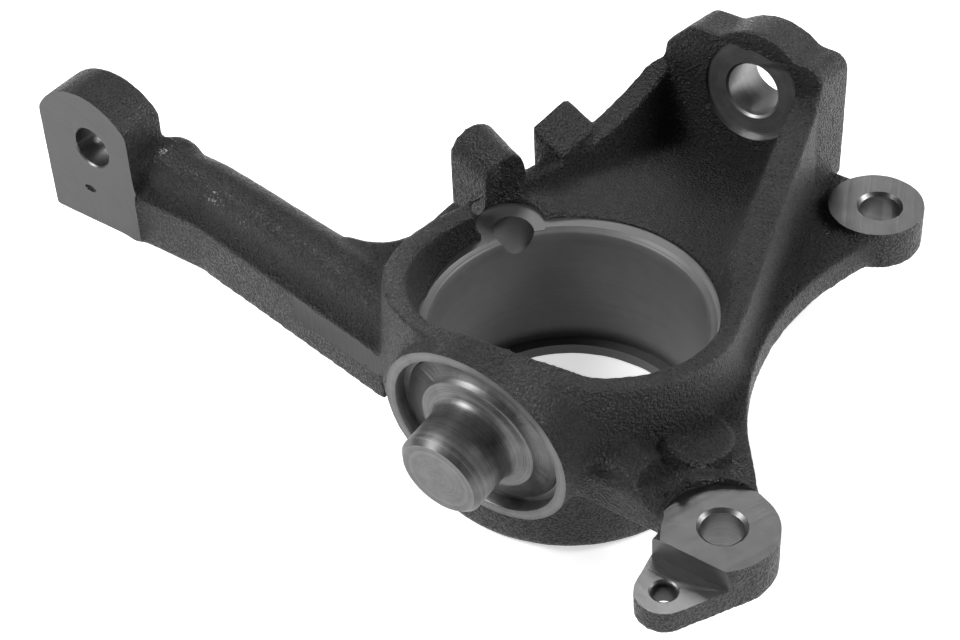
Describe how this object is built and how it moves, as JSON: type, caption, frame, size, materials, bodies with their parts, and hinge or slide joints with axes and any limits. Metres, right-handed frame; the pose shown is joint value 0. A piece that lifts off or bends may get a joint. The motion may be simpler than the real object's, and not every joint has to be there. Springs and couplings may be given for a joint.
{
  "type": "steering knuckle",
  "caption": "Cast steering knuckle with a hub bearing bore, ball-joint tower, turned lower pin, steering arm and caliper lugs.",
  "frame": {"origin": "centre of the hub bore on its machined rim plane", "axes": "+Z along the hub bore axis out of the open mouth, +Y along the steering axis from the lower pin to the ball-joint tower, +X towards the caliper lugs"},
  "size_m": [0.3036, 0.2085, 0.0907],
  "materials": {
    "casting": "black satin paint over cast skin, bare machined seats"
  },
  "bodies": {
    "root": {"steering_knuckle": "casting"}
  },
  "joints": []
}
